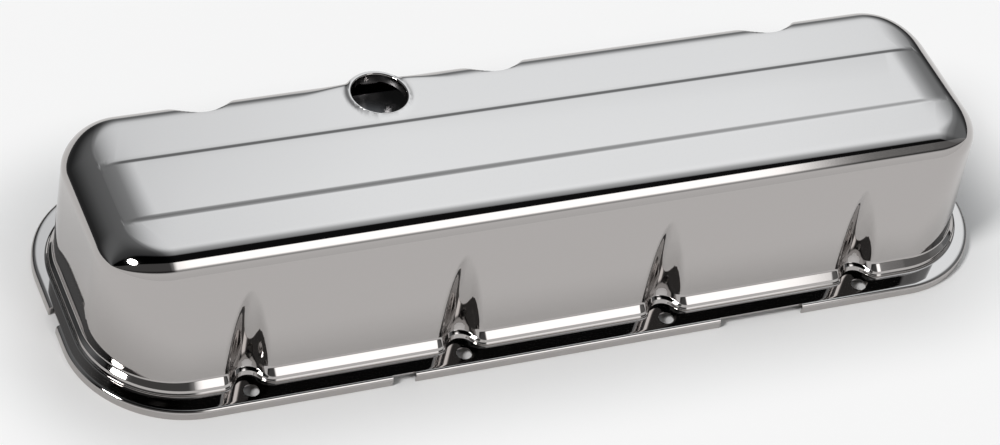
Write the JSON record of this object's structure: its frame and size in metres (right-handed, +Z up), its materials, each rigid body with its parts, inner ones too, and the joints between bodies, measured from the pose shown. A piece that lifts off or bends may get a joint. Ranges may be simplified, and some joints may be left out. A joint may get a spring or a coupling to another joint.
{
  "type": "engine valve cover",
  "caption": "Tall drawn steel engine valve cover with a turned-down lip, tapered bolt flutes in the walls, a raised panel on top and a collared breather hole with a baffle.",
  "frame": {"origin": "under the middle of the cover, on the plane that the lip stands on", "axes": "+X along the cover, -Y the side with four bolts, +Y the side with three bolts and the breather hole, +Z up"},
  "size_m": [0.546, 0.178, 0.0874],
  "materials": {
    "cover": "polished chrome plating",
    "baffle": "dull plated pressed steel"
  },
  "bodies": {
    "root": {"valve_cover_shell": "cover", "splash_baffle": "baffle"}
  },
  "joints": []
}
